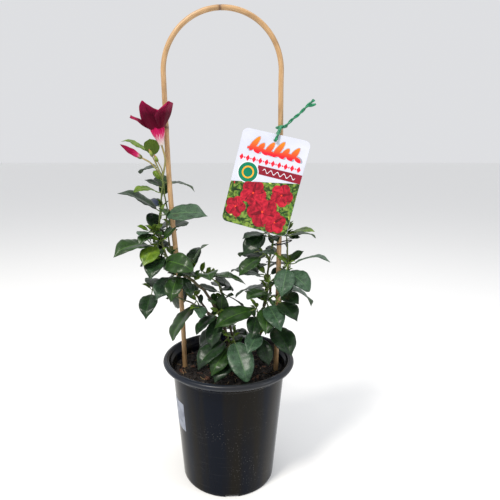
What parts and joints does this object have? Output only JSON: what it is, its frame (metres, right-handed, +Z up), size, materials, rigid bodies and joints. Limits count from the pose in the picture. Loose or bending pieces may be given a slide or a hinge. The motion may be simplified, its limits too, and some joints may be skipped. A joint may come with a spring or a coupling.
{
  "type": "potted flowering climber on a cane hoop",
  "caption": "Climbing plant with glossy opposite leaves and one trumpet bloom, trained on a bent cane hoop in a black nursery pot, with a hanging plant label.",
  "frame": {"origin": "centre of the pot's flat underside", "axes": "+Z up the plant, +X to the label's side, -Y the side that the label faces"},
  "size_m": [0.2986, 0.2, 0.6907],
  "materials": {
    "pot_plastic": "moulded black polypropylene",
    "potting_mix": "moist composted bark",
    "cane": "bent natural cane",
    "label": "printed plastic sheet",
    "green_tie": "twisted plastic tie",
    "black_tie": "soft plastic tie",
    "stem_bark": "thin brown-green bark",
    "foliage": "glossy dark green leaves",
    "petals": "velvety crimson petals"
  },
  "bodies": {
    "root": {"bloom_and_buds": "petals", "cane_left_arch": "cane", "cane_left_leg": "cane", "cane_right_arch": "cane", "cane_right_leg": "cane", "centre_stem": "stem_bark", "cross_shoot": "stem_bark", "front_stem": "stem_bark", "left_stem": "stem_bark", "left_twiner": "stem_bark", "plant_tag": "label", "pot": "pot_plastic", "potting_mix": "potting_mix", "right_stem": "stem_bark", "right_twiner": "stem_bark", "spray_back_high": "foliage", "spray_back_low": "foliage", "spray_back_right": "foliage", "spray_centre_back": "foliage", "spray_centre_crown": "foliage", "spray_centre_dark": "foliage", "spray_centre_low": "foliage", "spray_cross_middle": "foliage", "spray_cross_tip": "foliage", "spray_flowering": "foliage", "spray_front_big": "foliage", "spray_front_low": "foliage", "spray_front_right": "foliage", "spray_left_back": "foliage", "spray_left_bend": "foliage", "spray_left_elbow": "foliage", "spray_left_far": "foliage", "spray_left_inner": "foliage", "spray_left_reach": "foliage", "spray_left_round": "foliage", "spray_left_shoulder": "foliage", "spray_left_side": "foliage", "spray_left_top": "foliage", "spray_left_under": "foliage", "spray_left_upper": "foliage", "spray_right_crest": "foliage", "spray_right_far": "foliage", "spray_right_front": "foliage", "spray_right_hang": "foliage", "spray_right_heart": "foliage", "spray_right_inner": "foliage", "spray_right_knee": "foliage", "spray_right_middle": "foliage", "spray_right_outer": "foliage", "spray_right_reach": "foliage", "spray_right_round": "foliage", "spray_right_top": "foliage", "stem_tie": "black_tie", "tag_tie": "green_tie"}
  },
  "joints": []
}
